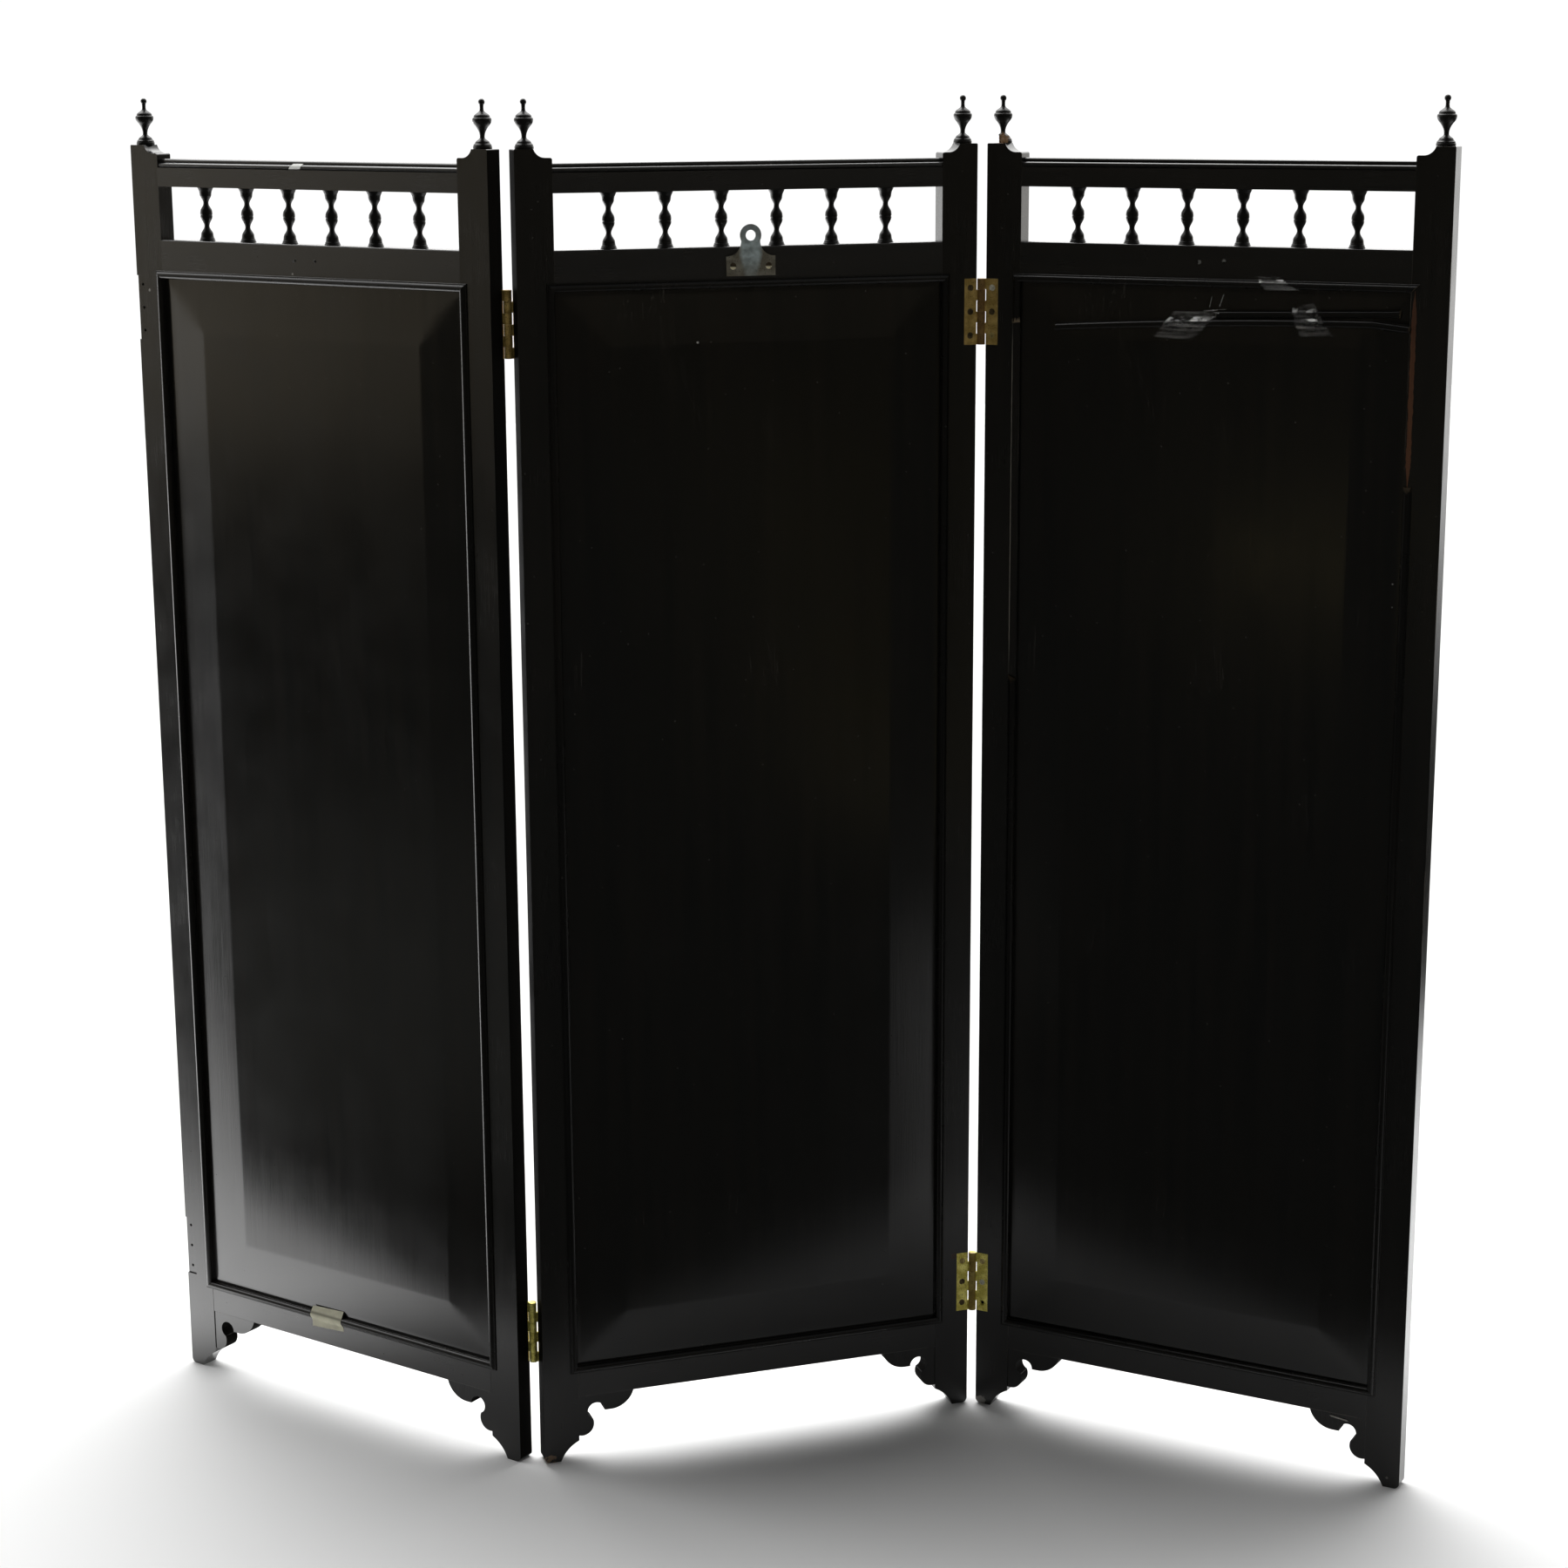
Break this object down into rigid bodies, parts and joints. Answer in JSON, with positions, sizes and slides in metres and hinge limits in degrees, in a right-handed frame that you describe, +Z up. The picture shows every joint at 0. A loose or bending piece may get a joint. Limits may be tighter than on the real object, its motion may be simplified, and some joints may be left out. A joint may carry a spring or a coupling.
{
  "type": "folding screen",
  "caption": "Folding screen in ebonised wood with bevelled mirror plates, turned galleries, fielded back panels, scroll-cut feet and brass butt hinges.",
  "frame": {"origin": "floor, under the middle of the standing screen's box", "axes": "+Z up; +X along the centre leaf to its right as seen from the panelled side; the panelled side of the centre leaf looks along -Y and its mirror along +Y"},
  "size_m": [1.3084, 0.8554, 1.604],
  "materials": {
    "ebonised_frame": "ebonised and polished, worn along the edges",
    "ebonised_panel": "ebonised and polished to a soft gloss",
    "ebonised_turned": "ebonised and polished",
    "ebonised_bead": "ebonised and polished",
    "mirror_plate": "silvered glass with ground and polished bevels",
    "hinge_brass": "aged, dull olive brass",
    "screw_brass": "aged brass with bright rubbed spots",
    "hanger_steel": "dull grey with brown patina"
  },
  "bodies": {
    "left_leaf": {"left_stile_left": "ebonised_frame", "left_stile_right": "ebonised_frame", "left_top_rail": "ebonised_frame", "left_mid_rail": "ebonised_frame", "left_bottom_rail": "ebonised_frame", "left_bracket_left": "ebonised_frame", "left_bracket_right": "ebonised_frame", "left_spindles": "ebonised_turned", "left_finial_left": "ebonised_turned", "left_finial_right": "ebonised_turned", "left_back_panel": "ebonised_panel", "left_panel_bead": "ebonised_bead", "left_mirror_plate": "mirror_plate", "left_mirror_bead": "ebonised_bead", "left_upper_flap_outer": "hinge_brass", "left_lower_flap_outer": "hinge_brass", "left_leaf_screws": "screw_brass"},
    "centre_leaf": {"centre_stile_left": "ebonised_frame", "centre_stile_right": "ebonised_frame", "centre_top_rail": "ebonised_frame", "centre_mid_rail": "ebonised_frame", "centre_bottom_rail": "ebonised_frame", "centre_bracket_left": "ebonised_frame", "centre_bracket_right": "ebonised_frame", "centre_spindles": "ebonised_turned", "centre_finial_left": "ebonised_turned", "centre_finial_right": "ebonised_turned", "centre_back_panel": "ebonised_panel", "centre_panel_bead": "ebonised_bead", "centre_mirror_plate": "mirror_plate", "centre_mirror_bead": "ebonised_bead", "left_upper_flap_centre": "hinge_brass", "left_upper_pin": "hinge_brass", "left_lower_flap_centre": "hinge_brass", "left_lower_pin": "hinge_brass", "right_upper_flap_centre": "hinge_brass", "right_upper_pin": "hinge_brass", "right_lower_flap_centre": "hinge_brass", "right_lower_pin": "hinge_brass", "centre_leaf_screws": "screw_brass", "hanger_plate": "hanger_steel", "hanger_screws": "screw_brass"},
    "right_leaf": {"right_stile_left": "ebonised_frame", "right_stile_right": "ebonised_frame", "right_top_rail": "ebonised_frame", "right_mid_rail": "ebonised_frame", "right_bottom_rail": "ebonised_frame", "right_bracket_left": "ebonised_frame", "right_bracket_right": "ebonised_frame", "right_spindles": "ebonised_turned", "right_finial_left": "ebonised_turned", "right_finial_right": "ebonised_turned", "right_back_panel": "ebonised_panel", "right_panel_bead": "ebonised_bead", "right_mirror_plate": "mirror_plate", "right_mirror_bead": "ebonised_bead", "right_upper_flap_outer": "hinge_brass", "right_lower_flap_outer": "hinge_brass", "right_loose_beads": "ebonised_bead", "right_leaf_screws": "screw_brass"}
  },
  "joints": [
    {"name": "left_fold", "type": "hinge", "parent": "centre_leaf", "child": "left_leaf", "pos_m": [-0.3009, -0.00861, 0.124], "axis": [0, 0, 1], "range_deg": [-127, 75]},
    {"name": "right_fold", "type": "hinge", "parent": "centre_leaf", "child": "right_leaf", "pos_m": [0.2553, -0.03221, 0.124], "axis": [0, 0, 1], "range_deg": [-124, 68]}
  ]
}
